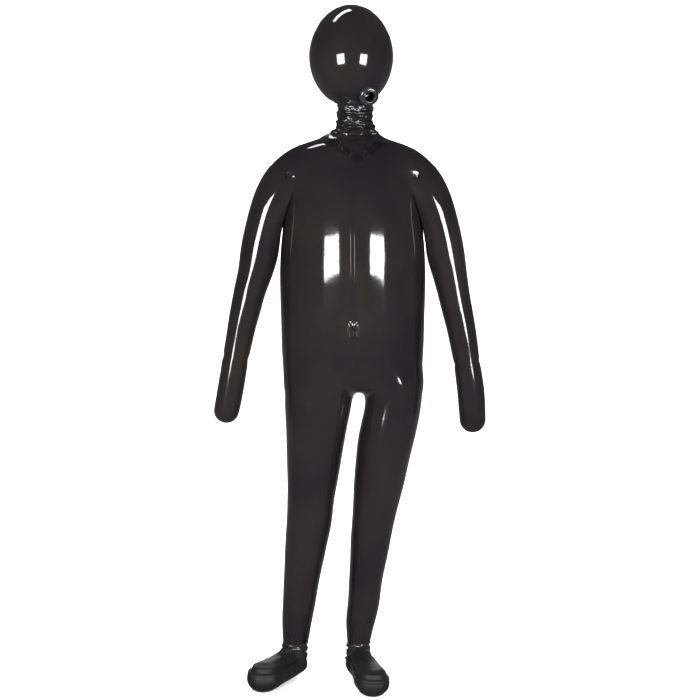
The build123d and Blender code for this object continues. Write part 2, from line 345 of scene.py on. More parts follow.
def new_object(name, verts, faces, material, normals=None):
    """A smooth-shaded object from millimetre points; normals are the surface's own."""
    mesh = bpy.data.meshes.new(name)
    if normals is not None:
        faces = facing(np.asarray(verts), faces, np.asarray(normals))
    mesh.from_pydata((np.asarray(verts) * MM).tolist(), [], [list(map(int, f)) for f in faces])
    mesh.validate()
    mesh.update()
    mesh.polygons.foreach_set("use_smooth", [True] * len(mesh.polygons))
    if normals is not None and len(normals) == len(mesh.vertices):
        mesh.normals_split_custom_set_from_vertices(np.asarray(normals).tolist())
    obj = bpy.data.objects.new(name, mesh)
    bpy.context.collection.objects.link(obj)
    mesh.materials.append(material)
    return obj


def part_of(verts, faces, keep):
    """The faces chosen by keep, with only the points they use."""
    chosen = faces[keep]
    used = np.unique(chosen)
    new = np.full(len(verts), -1)
    new[used] = np.arange(len(used))
    return used, new[chosen]


def ring_mesh(rings):
    """Faces that join successive rings of equal size."""
    count = len(rings)
    size = len(rings[0])
    faces = []
    for i in range(count - 1):
        for j in range(size):
            k = (j + 1) % size
            faces.append((i * size + j, i * size + k, (i + 1) * size + k, (i + 1) * size + j))
    return np.concatenate(rings), faces


def remeshed(parts, voxel):
    """One closed skin around overlapping closed tubes, as points and quads in mm."""
    mesh = bpy.data.meshes.new("base")
    verts = []
    faces = []
    for v, f in parts:
        offset = len(verts)
        verts.extend((np.asarray(v) * MM).tolist())
        faces.extend([[int(i) + offset for i in face] for face in f])
    mesh.from_pydata(verts, [], faces)
    obj = bpy.data.objects.new("base", mesh)
    bpy.context.collection.objects.link(obj)
    bm = bmesh.new()
    bm.from_mesh(mesh)
    bmesh.ops.recalc_face_normals(bm, faces=bm.faces)
    bm.to_mesh(mesh)
    bm.free()
    modifier = obj.modifiers.new("skin", "REMESH")
    modifier.mode = "VOXEL"
    modifier.voxel_size = voxel
    graph = bpy.context.evaluated_depsgraph_get()
    out = bpy.data.meshes.new_from_object(obj.evaluated_get(graph))
    co = points_of(out) / MM
    sizes = np.empty(len(out.polygons), int)
    out.polygons.foreach_get("loop_total", sizes)
    loops = np.empty(len(out.loops), int)
    out.loops.foreach_get("vertex_index", loops)
    quads = loops.reshape(-1, 4) if (sizes == 4).all() else None
    bpy.data.objects.remove(obj)
    bpy.data.meshes.remove(mesh)
    bpy.data.meshes.remove(out)
    return co, quads


def capped_tube(rings):
    """A tube through the rings, closed at both ends."""
    verts, faces = ring_mesh(rings)
    size = len(rings[0])
    faces.append(tuple(range(size))[::-1])
    last = len(verts) - size
    faces.append(tuple(range(last, last + size)))
    return verts, faces


def level_ring(cx, z, w, d, count=40):
    """A level oval at a height, about the figure's middle plane."""
    a = np.linspace(0, 2 * np.pi, count, endpoint=False)
    return np.stack([cx + w * np.cos(a), MID_Y + d * np.sin(a), np.full(count, z)], 1)


def ring_points(middle, across, r, d, a):
    """An oval across the arm's line, r wide in its plane and d deep."""
    return np.stack(
        [
            middle[0] + across[0] * r * np.cos(a),
            MID_Y + d * np.sin(a),
            middle[1] + across[1] * r * np.cos(a),
        ],
        1,
    )


def relaxed(verts, faces, rounds, hold):
    """Evens out the spacing of the points by averaging neighbours; hold marks fixed ones."""
    edges = np.concatenate([faces[:, [i, (i + 1) % 4]] for i in range(4)])
    v = verts.copy()
    count = np.zeros(len(v))
    np.add.at(count, edges[:, 0], 1)
    np.add.at(count, edges[:, 1], 1)
    for _ in range(rounds):
        total = np.zeros_like(v)
        np.add.at(total, edges[:, 0], v[edges[:, 1]])
        np.add.at(total, edges[:, 1], v[edges[:, 0]])
        mean = total / np.maximum(count, 1)[:, None]
        v = np.where(hold[:, None], v, 0.5 * v + 0.5 * mean)
    return v


# ---------------------------------------------------------------- materials
def film_material(name, base, rough_low, rough_high, ripple, grain, tint=(1.0, 1.0, 1.0)):
    """Polished black film: near-black with faint tint changes, slight haze and soft ripples."""
    mat = bpy.data.materials.new(name)
    mat.use_nodes = True
    nt = mat.node_tree
    nodes, links = nt.nodes, nt.links
    p = nodes["Principled BSDF"]
    p.inputs["IOR"].default_value = 1.32
    p.inputs["Coat Weight"].default_value = 0.0
    place = nodes.new("ShaderNodeTexCoord")
    cloud = nodes.new("ShaderNodeTexNoise")
    cloud.inputs["Scale"].default_value = 5.0
    cloud.inputs["Detail"].default_value = 3.0
    links.new(place.outputs["Object"], cloud.inputs["Vector"])
    ramp = nodes.new("ShaderNodeValToRGB")
    ramp.color_ramp.elements[0].position = 0.35
    ramp.color_ramp.elements[1].position = 0.7
    ramp.color_ramp.elements[0].color = (*base, 1)
    ramp.color_ramp.elements[1].color = (*[1.6 * b * t for b, t in zip(base, tint)], 1)
    links.new(cloud.outputs["Fac"], ramp.inputs["Fac"])
    links.new(ramp.outputs["Color"], p.inputs["Base Color"])
    haze = nodes.new("ShaderNodeTexNoise")
    haze.inputs["Scale"].default_value = 22.0
    haze.inputs["Detail"].default_value = 4.0
    links.new(place.outputs["Object"], haze.inputs["Vector"])
    span = nodes.new("ShaderNodeMapRange")
    span.inputs["To Min"].default_value = rough_low
    span.inputs["To Max"].default_value = rough_high
    links.new(haze.outputs["Fac"], span.inputs["Value"])
    links.new(span.outputs["Result"], p.inputs["Roughness"])
    wave = nodes.new("ShaderNodeTexNoise")
    wave.inputs["Scale"].default_value = 9.0
    wave.inputs["Detail"].default_value = 1.5
    links.new(place.outputs["Object"], wave.inputs["Vector"])
    bump = nodes.new("ShaderNodeBump")
    bump.inputs["Strength"].default_value = ripple
    bump.inputs["Distance"].default_value = 0.004
    links.new(wave.outputs["Fac"], bump.inputs["Height"])
    fine = nodes.new("ShaderNodeTexNoise")
    fine.inputs["Scale"].default_value = 160.0
    fine.inputs["Detail"].default_value = 2.0
    links.new(place.outputs["Object"], fine.inputs["Vector"])
    bump2 = nodes.new("ShaderNodeBump")
    bump2.inputs["Strength"].default_value = grain
    bump2.inputs["Distance"].default_value = 0.0004
    links.new(fine.outputs["Fac"], bump2.inputs["Height"])
    links.new(bump.outputs["Normal"], bump2.inputs["Normal"])
    links.new(bump2.outputs["Normal"], p.inputs["Normal"])
    return mat


OLIVE = (1.15, 1.2, 0.7)
FILM = film_material("black_film", (0.0036, 0.0028, 0.0040), 0.05, 0.10, 0.22, 0.12, OLIVE)
# Crumpled film: rougher than the body's film, which is real, and with a slightly darker base colour,
# which is painted shade among the crumples
CREASED_PAINTED_SHADE = film_material("creased_film_painted_shade", (0.0030, 0.0026, 0.0032), 0.16, 0.28, 0.3, 0.35)
TAPE = film_material("seam_tape", (0.0035, 0.0032, 0.0035), 0.05, 0.10, 0.12, 0.12)
LIMP = film_material("limp_film", (0.0016, 0.0014, 0.0016), 0.54, 0.70, 0.3, 0.5)
PORT_PLASTIC = film_material("port_plastic", (0.008, 0.008, 0.009), 0.12, 0.2, 0.1, 0.3)
ANKLE = film_material("ankle_film", (0.0060, 0.0056, 0.0062), 0.20, 0.34, 0.4, 0.5)
SOLE = film_material("sole_rubber", (0.010, 0.010, 0.010), 0.35, 0.5, 0.2, 0.8)
limp_shader = LIMP.node_tree.nodes["Principled BSDF"]
limp_shader.inputs["Sheen Weight"].default_value = 0.13
limp_shader.inputs["Sheen Roughness"].default_value = 0.2
limp_shader.inputs["Specular IOR Level"].default_value = 0.4


# ---------------------------------------------------------------- trunk and legs
ARMHOLE_POINT = (150.0, 1394.0)
ARMHOLE_NORMAL = (0.969, 0.2446)
ARMHOLE_FOOT = 1284.0
NECK_CUT = 1416.0
LEG_CUT = 96.0


def beyond_armhole(p, side):
    """How far points lie outside the armhole's slanting plane, in mm."""
    x = p[:, 0] * SIGN[side]
    return (x - ARMHOLE_POINT[0]) * ARMHOLE_NORMAL[0] + (
        p[:, 2] - ARMHOLE_POINT[1]
    ) * ARMHOLE_NORMAL[1]


def trunk_base():
    """A voxel skin over the trunk, both legs and the start of both arms."""
    parts = []
    parts.append(capped_tube([level_ring(1.0, z, w, d) for z, w, d in TRUNK[1:-1]]))
    for side in ("right", "left"):
        parts.append(capped_tube([level_ring(x, z, w, d) for z, x, w, d in LEGS[side][:-1]]))
        rings = []
        arm = ARMS[side]
        for reach in (0.0, 20.0, 40.0, 62.0, 84.0):
            i = int(reach / arm.length * (ARM_SAMPLES - 1))
            a = np.linspace(0, 2 * np.pi, 40, endpoint=False)
            tangent = arm.line[i + 1] - arm.line[max(i - 1, 0)]
            tangent /= np.linalg.norm(tangent)
            across = np.array([-tangent[1], tangent[0]])
            ring = ring_points(arm.line[i], across, arm.r[i] + 2, arm.d[i] + 2, a)
            ring[:, 2] = np.maximum(ring[:, 2], ARMHOLE_FOOT + 10)
            rings.append(ring)
        parts.append(capped_tube(rings))
    return remeshed(parts, BODY_VOXEL)


def seam_x(z):
    """Where the centre seam runs across the trunk at each height."""
    return np.interp(z, [762, 940, 1170, 1500], [17, 2, 0, -1])


def gap_x(z):
    """The line midway between the legs."""
    return np.interp(z, [0, 256, 470, 684, 762], [-68, -47, -22, 9, 17])


def trunk_panels():
    """The four body panels, cut from one skin along the seams."""
    verts, quads = trunk_base()
    verts = relaxed(verts, quads, 3, np.zeros(len(verts), bool))
    verts, normals = onto(trunk_side_field, verts, 5)
    verts = relaxed(verts, quads, 2, np.zeros(len(verts), bool))
    verts, normals = onto(trunk_side_field, verts, 3)
    centre = verts[quads].mean(1)
    outboard = np.maximum(beyond_armhole(centre, "right"), beyond_armhole(centre, "left"))
    z = centre[:, 2]
    keep = ~((outboard > 4.0) & (z > ARMHOLE_FOOT)) & (z < NECK_CUT + 4) & (z > LEG_CUT - 4)
    split_x = np.where(z > TRUNK_BOTTOM, seam_x(z), gap_x(z))
    is_left = centre[:, 0] > split_x
    is_front = centre[:, 1] < MID_Y
    panels = {
        "front_right_panel": is_front & ~is_left,
        "front_left_panel": is_front & is_left,
        "back_right_panel": ~is_front & ~is_left,
        "back_left_panel": ~is_front & is_left,
    }
    for name, chosen in panels.items():
        used, faces = part_of(verts, quads, chosen & keep)
        panel = new_object("film_" + name, verts[used], faces, FILM, normals[used])
        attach(panel, "torso")
        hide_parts(name)


trunk_panels()


# ---------------------------------------------------------------- sleeves and mitts
def arm_tube(side, spacing, count=60):
    """Rings along the arm, from inside the shoulder to the rounded end of the mitt."""
    arm = ARMS[side]
    n = int(arm.length / spacing)
    rings = []
    reach = []
    a = np.linspace(0, 2 * np.pi, count, endpoint=False)
    for k in range(n + 1):
        s = arm.length * k / n
        here = arm.place(s)
        t = here - arm.place(s - 1) if k == n else arm.place(s + 1) - here
        t /= np.linalg.norm(t)
        across = np.array([-t[1], t[0]])
        r, d = np.interp(s, arm.s, arm.r), np.interp(s, arm.s, arm.d)
        rings.append(ring_points(here, across, r, d, a))
        reach.append(s)
    caps = 10
    for k in range(1, caps + 1):
        angle = 0.5 * np.pi * k / caps
        shrink = max(math.cos(angle), 0.02)
        ahead = r * math.sin(angle)
        rings.append(ring_points(here + t * ahead, across, r * shrink, d * shrink, a))
        reach.append(arm.length + ahead)
    return rings, np.array(reach)


WRIST_AT = {"right": (-303.0, 850.0), "left": (297.0, 836.0)}
WRIST_S = {}
for side, arm in ARMS.items():
    gap = np.hypot(arm.line[:, 0] - WRIST_AT[side][0], arm.line[:, 1] - WRIST_AT[side][1])
    WRIST_S[side] = arm.s[gap.argmin()]


def wrist_crease(side, p):
    """The soft dent where the hand's film is folded against the sleeve's."""
    s = ARMS[side].along(p)
    tilt = 5.0 * np.sin((p[:, 1] - MID_Y) / 14.0)
    d = (s - WRIST_S[side] - tilt) / 5.0
    return 1.7 * np.exp(-d * d)


def mitt_mesh(verts, normals, faces, chosen, size):
    """The chosen faces with the mitt's open end closed by a fan to one point."""
    last, pole = len(verts) - size, len(verts)
    verts = np.vstack([verts, verts[last:].mean(0)[None]])
    normals = np.vstack([normals, normals[last:].mean(0)[None]])
    used, section = part_of(verts, faces, chosen)
    where = {int(v): i for i, v in enumerate(used)}
    section = [tuple(f) for f in section]
    for j in range(size):
        section.append((where[last + j], where[last + (j + 1) % size], len(used)))
    used = np.append(used, pole)
    return verts[used], section, normals[used]


def arm_pieces(side):
    """The sleeve, the wrist band and the mitt, which follows the hand."""
    arm = ARMS[side]
    rings, reach = arm_tube(side, 6.0)
    size = len(rings[0])
    verts, faces = ring_mesh(rings)
    faces = np.array(faces)
    verts, normals = onto(sleeve_field(side), verts, 7)
    verts = verts - normals * wrist_crease(side, verts)[:, None]
    face_reach = reach[np.minimum(faces.min(1) // size, len(reach) - 1)]
    centre = verts[faces].mean(1)
    high = (beyond_armhole(centre, side) > 0.0) & (centre[:, 2] > ARMHOLE_FOOT)
    low = (centre[:, 2] <= ARMHOLE_FOOT + 28.0) & (body_field(centre) >= -1.0)
    keep = high | low
    band_start, band_end = WRIST_S[side] - 34.0, WRIST_S[side] + 30.0
    in_band = (face_reach >= band_start) & (face_reach < band_end)

    used, section = part_of(verts, faces, keep & (face_reach < band_start))
    sleeve = new_object(f"film_{side}_sleeve", verts[used], section, FILM, normals[used])
    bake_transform(sleeve)
    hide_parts(f"{side}_sleeve_front", f"{side}_sleeve_back", f"{side}_armhole_ring")

    used, section = part_of(verts, faces, keep & in_band)
    wrist = new_object(f"film_{side}_wrist", verts[used], section, FILM, normals[used])
    i = int(np.searchsorted(arm.s, WRIST_S[side]))
    hand_dir = arm.line[i + 6] - arm.line[i - 6]
    hand_dir /= np.linalg.norm(hand_dir)
    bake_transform(wrist)
    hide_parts(f"{side}_wrist_band")

    points, section, own = mitt_mesh(verts, normals, faces, face_reach >= band_end, size)
    mitt = new_object(f"film_{side}_mitt", points, section, FILM, own)
    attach(mitt, f"{side}_hand")
    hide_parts(f"{side}_mitt_front", f"{side}_mitt_back")


for side in ("right", "left"):
    arm_pieces(side)


# ---------------------------------------------------------------- head and neck
HEAD_MIDDLE = np.array([-3.0, MID_Y, 1620.0])
HEAD_RADIUS = 107.0
HEAD_HALF = 129.0
NECK_MIDDLE = (7.0, MID_Y)
NECK_LEVELS = [
    (1404, 104, 65), (1412, 88, 58), (1420, 74, 54), (1430, 60, 50), (1442, 51, 47),
    (1456, 47, 45), (1472, 46, 45), (1486, 46, 46), (1500, 48, 48), (1514, 54, 54),
]


def head_field(p):
    """Distance to the egg-shaped head."""
    q = (p - HEAD_MIDDLE) / np.array([HEAD_RADIUS, HEAD_RADIUS, HEAD_HALF])
    k = np.linalg.norm(q, axis=1) + 1e-9
    return np.linalg.norm(p - HEAD_MIDDLE, axis=1) * (1 - 1 / k)


def crumple(angle, z):
    """Depth in mm of the neck film's folds: slanting pleats crossed by slack rings."""
    pleats = np.zeros_like(angle)
    for count, slant, phase, size in (
        (5, 0.050, 0.4, 2.2), (8, -0.072, 1.7, 1.7), (13, 0.105, 3.1, 1.1), (19, -0.16, 0.6, 0.6),
    ):
        ridge = 1 - np.abs(np.sin(0.5 * (count * angle + slant * z * count / 3 + phase)))
        pleats += size * (ridge**1.6 - 0.35)
    rings = 1.5 * np.sin(z * 0.30 + 2.1 * np.sin(angle + 0.6)) + 1.1 * np.sin(
        z * 0.52 - 1.7 * np.sin(2 * angle + 1.2)
    )
    return pleats + rings


def neck_rings():
    """The neck's heights and its crumpled rings."""
    t = np.array(NECK_LEVELS, float)
    step = 1.6
    count = 180
    levels = np.arange(t[0, 0], t[-1, 0] + 0.1, step)
    a = np.linspace(0, 2 * np.pi, count, endpoint=False)
    out = []
    for z in levels:
        w = natural_spline(t[:, 0], t[:, 1], np.array([z]))[0]
        d = natural_spline(t[:, 0], t[:, 2], np.array([z]))[0]
        ease = smooth_step(z, 1408, 1430) * (1 - 0.7 * smooth_step(z, 1492, 1510))
        fold = crumple(a, np.full(count, z)) * ease
        shift = NECK_MIDDLE[0] * smooth_step(z, 1410, 1440)
        ring = np.stack([shift + w * np.cos(a), MID_Y + d * np.sin(a), np.full(count, z)], 1)
        reach = fold - throat_dent(ring)
        ring[:, 0] += reach * np.cos(a)
        ring[:, 1] += reach * np.sin(a)
        ring[:, 2] += 1.5 * ease * np.sin(3 * a + z * 0.1)
        out.append(ring)
    return levels, out


BANDS = [
    ("neck_root", "torso", "neck_lower", 1404, 1436, ("neck_collar", "neck_fold_lower")),
    ("neck_middle_folds", "neck_lower", "neck_middle", 1436, 1462, ("neck_fold_middle",)),
    ("neck_top_folds", "neck_middle", "head", 1462, 1514, ("head_neck_cuff",)),
]


def neck_bands():
    """The crumpled neck in three bands."""
    levels, rings = neck_rings()
    for name, low_body, high_body, low, high, replaced in BANDS:
        first, last = (int(np.abs(levels - z).argmin()) for z in (low, high))
        verts, faces = ring_mesh(rings[first : last + 1])
        band = new_object("film_" + name, verts, faces, CREASED_PAINTED_SHADE)
        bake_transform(band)
        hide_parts(*replaced)


neck_bands()


# The head's surface runs from the neck's opening to nearly the crown (angles above its middle)
HEAD_FROM, HEAD_TO = 0.42 - 0.5 * math.pi, 0.5 * math.pi - 0.012
PORT = np.array([42.0, -21.0, 1515.0])
PORT_AXIS = np.array([0.25, -0.92, -0.30])
PORT_AXIS /= np.linalg.norm(PORT_AXIS)
PORT_HOLE = 12.5
PORT_SWELL = 5.0
FLAP_OFFSET = np.array([-2.0, -1.0, 3.0])


def from_port(p):
    """How far points lie along the port's axis and away from it."""
    offset = p - PORT
    along = offset @ PORT_AXIS
    return along, np.linalg.norm(offset - along[:, None] * PORT_AXIS, axis=1)


def head_panels(count=128, steps=72):
    """The balloon's two halves, swollen a little and open at the port."""
    a = np.linspace(0, 2 * np.pi, count, endpoint=False)
    rings = []
    for angle in np.linspace(HEAD_FROM, HEAD_TO, steps + 1):
        r = HEAD_RADIUS * math.cos(angle)
        z = HEAD_MIDDLE[2] + HEAD_HALF * math.sin(angle)
        ring = [HEAD_MIDDLE[0] + r * np.cos(a), MID_Y + r * np.sin(a), np.full(count, z)]
        rings.append(np.stack(ring, 1))
    verts, faces = ring_mesh(rings)
    faces = np.array(faces)
    along, gap = from_port(verts)
    near = (along > -40) & (gap < 44)
    swell = PORT_SWELL * np.exp(-((gap / 24.0) ** 2)) * near
    verts = verts + swell[:, None] * PORT_AXIS
    centre = verts[faces].mean(1)
    along, gap = from_port(centre)
    closed = ~((along > -40) & (gap < PORT_HOLE))
    front = centre[:, 1] < MID_Y
    for name, chosen in (("head_front_panel", front), ("head_back_panel", ~front)):
        used, section = part_of(verts, faces, chosen & closed)
        panel = new_object("film_" + name, verts[used], section, FILM)
        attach(panel, "head")
        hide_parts(name)


head_panels()


# ---------------------------------------------------------------- air port
def turned(name, profile, at, axis, material, count=48):
    """A piece turned about an axis from a closed profile of (radius, distance) in mm."""
    axis = np.array(axis) / np.linalg.norm(axis)
    u = np.cross(axis, (0, 0, 1))
    u /= np.linalg.norm(u)
    v = np.cross(axis, u)
    a = np.linspace(0, 2 * np.pi, count, endpoint=False)
    spokes = np.cos(a)[:, None] * u + np.sin(a)[:, None] * v
    rings = [np.array(at) + axis * h + r * spokes for r, h in profile]
    rings.append(rings[0])
    verts, faces = ring_mesh(rings)
    last = len(verts) - count
    faces = [tuple((i - last) if i >= last else i for i in f) for f in faces]
    return new_object(name, verts[:last], faces, material)


# Closed profiles: radius, distance in front of the port's middle
FLANGE = [
    (13.4, -6), (13.6, 7.5), (15.5, 8.2), (21, 6.6), (24.6, 3.2), (25.4, 0.6), (25.0, -2.5),
    (18, -4),
]
TUBE_RIM = [
    (12.5, -20), (12.3, 9.0), (12.8, 11.2), (14.2, 12.4), (15.8, 12.0), (17.0, 10.2),
    (17.2, 8.4), (16.0, 7.4), (15.4, 4), (15.4, -20),
]
FLAP = [
    (0.3, -20.4), (13.2, -20.4), (14.3, -20.8), (14.4, -21.4), (13.4, -21.8), (7.0, -22.4),
    (0.3, -22.8),
]
for name, profile, at, body, node in (
    ("port_flange_ring", FLANGE, PORT, "head", "port_flange"),
    ("port_tube_rim", TUBE_RIM, PORT, "head", "port_tube"),
    ("port_flap_disc", FLAP, PORT + FLAP_OFFSET, "port_flap", "port_flap"),
):
    piece = turned(name, profile, at, PORT_AXIS, PORT_PLASTIC)
    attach(piece, body)
    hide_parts(node)


# ---------------------------------------------------------------- feet and ankles
FOOT = {
    "right": {"heel": (-143.0, 57.0), "turn": -122.0, "ankle": -152.0, "length": 205.0},
    "left": {"heel": (11.0, 69.0), "turn": -77.4, "ankle": 16.0, "length": 231.0},
}
HEEL_RADIUS = 26.0
FOOT_SQUASH = 0.86
ANKLE_SPLIT = 62.0
ANKLE_RADIUS = 42.0
SOLE_TOP = 2.6
SOLE_LIFT = 0.4
FOOT_VOXEL = 0.0032


def foot_local(p, side):
    """Distances ahead of the heel and across the foot."""
    f = FOOT[side]
    t = math.radians(f["turn"])
    dx, dy = p[:, 0] - f["heel"][0], p[:, 1] - f["heel"][1]
    return dx * math.cos(t) + dy * math.sin(t), -dx * math.sin(t) + dy * math.cos(t)


def capsule(q, start, end, start_radius, end_radius):
    """Distance to a round bar whose radius changes along its length."""
    start, end = np.array(start, float), np.array(end, float)
    t = np.clip((q - start) @ (end - start) / ((end - start) @ (end - start)), 0, 1)
    gap = np.linalg.norm(q - start - t[:, None] * (end - start), axis=1)
    return gap - start_radius - t * (end_radius - start_radius)


def foot_field(side):
    """The form of one limp foot with the end of its leg, flat on the floor."""
    ankle = np.array([[FOOT[side]["ankle"], MID_Y, 0.0]])
    ankle_along, ankle_across = (float(v[0]) for v in foot_local(ankle, side))

    def field(p):
        along, across = foot_local(p, side)
        q = np.stack([along, across, p[:, 2] / FOOT_SQUASH], 1)
        toe = FOOT[side]["length"] - 44
        sole = capsule(q, (HEEL_RADIUS, 0, 29), (toe, 0, 40), HEEL_RADIUS, 43)
        q = np.stack([along, across, p[:, 2]], 1)
        instep = capsule(q, (ankle_along + 6, ankle_across, 70), (toe - 20, 0, 41), 24, 30)
        leg = leg_field(np.stack([p[:, 0], p[:, 1], np.maximum(p[:, 2], 60)], 1), side)
        leg = smooth_max(leg, 24.0 - p[:, 2], 12.0)
        k = 20.0 - 12.0 * smooth_step(p[:, 2], 50, 80)
        both = smooth_min(smooth_min(sole * 0.85, instep, 22.0), leg, k)
        return smooth_max(both, 0.6 - p[:, 2], 5.0)

    return field


def ankle_crumple(p, side):
    """Depth of the ankle's folds, and of the slack in the sock below."""
    x = p[:, 0] - FOOT[side]["ankle"]
    y = p[:, 1] - MID_Y
    a = np.arctan2(y, x)
    z = p[:, 2]
    rings = 2.0 * np.sin(z * 0.33 + 1.8 * np.sin(a + 1.0)) + 1.5 * np.sin(
        z * 0.55 - 2.2 * np.sin(2 * a)
    )
    pleats = 1.6 * (1 - np.abs(np.sin(3.5 * a + 0.05 * z))) ** 1.5 - 0.5
    near = smooth_step(z, 34, 52) * (1 - smooth_step(z, 84, 100))
    along, across = foot_local(p, side)
    slack = (
        0.7 * np.sin(along * 0.16 + 0.8 * np.sin(across * 0.12))
        + 0.5 * np.sin(along * 0.09 + across * 0.2 + 1.3)
        + 0.4 * np.sin(across * 0.31 - along * 0.07)
    )
    top = smooth_step(z, 10, 26) * (1 - smooth_step(z, 40, 60))
    return (rings + pleats) * near + slack * top


def upright_ring(at, beside, half, z, rise, count=32):
    """An upright oval across the foot: half its width, the height of its middle, half its height."""
    a = np.linspace(0, 2 * np.pi, count, endpoint=False)
    x, y = at[0] + beside[0] * half * np.cos(a), at[1] + beside[1] * half * np.cos(a)
    return np.stack([x, y, z + rise * np.sin(a)], 1)


def foot_skin(side):
    """One crumpled skin over the foot and the end of the leg, as points and quads."""
    f = FOOT[side]
    heel = np.array(f["heel"])
    t = math.radians(f["turn"])
    ahead = np.array([math.cos(t), math.sin(t)])
    beside = np.array([-math.sin(t), math.cos(t)])
    foot = []
    for k in range(13):
        share = 0.5 - 0.5 * math.cos(math.pi * (k + 0.4) / 12.8)
        r = (HEEL_RADIUS + 2 + 15 * share) * max(1 - abs(2 * share - 1) ** 4, 0.02) ** 0.5
        foot.append(upright_ring(heel + ahead * f["length"] * share, beside, r, 27, 0.72 * r))
    leg = [
        level_ring(np.interp(z, LEG_T[side][:, 0], LEG_T[side][:, 1]), z, w, w)
        for z, w in ((28, 30), (60, 32), (104, 34))
    ]
    bridge = []
    ankle_at = np.array([f["ankle"], MID_Y])
    fore_at = heel + ahead * (f["length"] - 68)
    for share in np.linspace(0, 1, 6):
        r = 23 + 6 * share
        at = ankle_at + (fore_at - ankle_at) * share
        bridge.append(upright_ring(at, beside, r, 70 - 29 * share, r))
    parts = [capped_tube(rings) for rings in (foot, leg, bridge)]
    skin, quads = remeshed(parts, FOOT_VOXEL)
    for evening, rounds in ((2, 6), (1, 3)):
        skin = relaxed(skin, quads, evening, np.zeros(len(skin), bool))
        skin, normals = onto(foot_field(side), skin, rounds)
    skin = skin + normals * ankle_crumple(skin, side)[:, None]
    skin[:, 2] = np.maximum(skin[:, 2], SOLE_LIFT)
    return skin, quads


def foot_pieces(side):
    """The ankle's folds, the sock and the sole."""
    skin, quads = foot_skin(side)
    height = skin[quads].mean(1)[:, 2]
    used, section = part_of(skin, quads, (height < LEG_CUT) & (height > ANKLE_SPLIT))
    ankle = new_object(f"film_{side}_ankle_folds", skin[used], section, ANKLE)
    ankle.data.materials.append(LIMP)
    axis_x, axis_y = FOOT[side]["ankle"] * MM, MID_Y * MM
    for face in ankle.data.polygons:
        off_axis = math.hypot(face.center.x - axis_x, face.center.y - axis_y)
        face.material_index = int(off_axis > ANKLE_RADIUS * MM)
    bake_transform(ankle)
    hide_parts(f"{side}_ankle_cuff", f"{side}_ankle_cup")

    used, section = part_of(skin, quads, (height <= ANKLE_SPLIT) & (height > SOLE_TOP))
    sock = new_object(f"film_{side}_foot", skin[used], section, LIMP)
    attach(sock, f"{side}_foot")
    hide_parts(f"{side}_foot_upper")

    used, section = part_of(skin, quads, height <= SOLE_TOP)
    sole = new_object(f"sole_{side}", skin[used], section, SOLE)
    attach(sole, f"{side}_foot")
    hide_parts(f"{side}_sole")


for side in ("right", "left"):
    foot_pieces(side)


# ---------------------------------------------------------------- seam tapes
def tape_strip(name, path, across, field, width=12.0, height=0.8, sink=0.5):
    """A flat tape bonded along a path over a surface, with rolled edges."""
    half = width / 2
    section = [(-half, -sink), (-half + 0.4, height * 0.75), (-half + 1.2, height)]
    section += [(-half * 0.4, height), (half * 0.4, height)]
    section += [(half - 1.2, height), (half - 0.4, height * 0.75), (half, -sink)]
    path = np.asarray(path, float)
    across = np.broadcast_to(np.asarray(across, float), path.shape)
    on_path, _ = onto(field, path, 5)
    rows = []
    for offset, rise in section:
        p, n = onto(field, on_path + across * offset, 4)
        rows.append(p + n * rise)
    grid = np.stack(rows, 1)
    count, size = grid.shape[:2]
    faces = []
    for i in range(count - 1):
        for j in range(size - 1):
            corner = i * size + j
            faces.append((corner, corner + size, corner + size + 1, corner + 1))
    return new_object(name, grid.reshape(-1, 3), faces, TAPE)


def riding(obj, body, node):
    """A piece that follows one body and stands for one CAD node."""
    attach(obj, body)
    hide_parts(node)


def front_path(high, low, front, step=6.0):
    """Points down the centre seam, in front of the trunk or behind it."""
    z = np.arange(high, low, -step)
    d = natural_spline(TRUNK_T[:, 0], TRUNK_T[:, 2], z) + 4
    return np.stack([seam_x(z), MID_Y + (-d if front else d), z], 1)


X_AXIS = (1.0, 0, 0)
Y_AXIS = (0, 1.0, 0)
def level_path(x, z):
    """Points in the figure's middle plane, between front and back."""
    return np.stack([x, np.full(len(x), MID_Y), z], 1)


def centre_tapes():
    """The centre seam: front above and below the pucker, and back."""
    for name, high, low, front, width, node in (
        ("tape_front_upper", 1398, 950, True, 11.5, "upper_front_seam"),
        ("tape_front_lower", 902, 757, True, 10.0, "lower_front_seam"),
        ("tape_back", 1400, 757, False, 12.5, "centre_back_seam"),
    ):
        path = front_path(high, low, front)
        riding(tape_strip(name, path, X_AXIS, body_field, width), "torso", node)


def leg_edge(side, z, outward, slack):
    """How far across the leg's edge lies at each height: outward 1 outside, -1 inside."""
    cx = natural_spline(LEG_T[side][:, 0], LEG_T[side][:, 1], z)
    w = natural_spline(LEG_T[side][:, 0], LEG_T[side][:, 2], z)
    return cx + SIGN[side] * outward * (w + slack)


def body_tapes(side):
    """The side seam, the inseam and the shoulder seam."""
    z = np.arange(1236.0, 98.0, -6.0)
    flank = SIGN[side] * (natural_spline(TRUNK_T[:, 0], TRUNK_T[:, 1], z) + 3)
    path = level_path(np.where(z > 800, flank, leg_edge(side, z, 1, 4)), z)
    strip = tape_strip(f"tape_{side}_side", path, Y_AXIS, body_field)
    riding(strip, "torso", f"{side}_side_seam")
    z = np.arange(744.0, 98.0, -6.0)
    path = level_path(leg_edge(side, z, -1, 2), z)
    strip = tape_strip(f"tape_{side}_inseam", path, Y_AXIS, body_field, 9.0)
    riding(strip, "torso", f"{side}_inseam")
    x = SIGN[side] * np.arange(100.0, 146.0, 4.0)
    path = level_path(x, np.full(len(x), 1405.0))
    strip = tape_strip(f"tape_{side}_shoulder", path, Y_AXIS, trunk_side_field, 10.0)
    riding(strip, "torso", f"{side}_shoulder_seam")


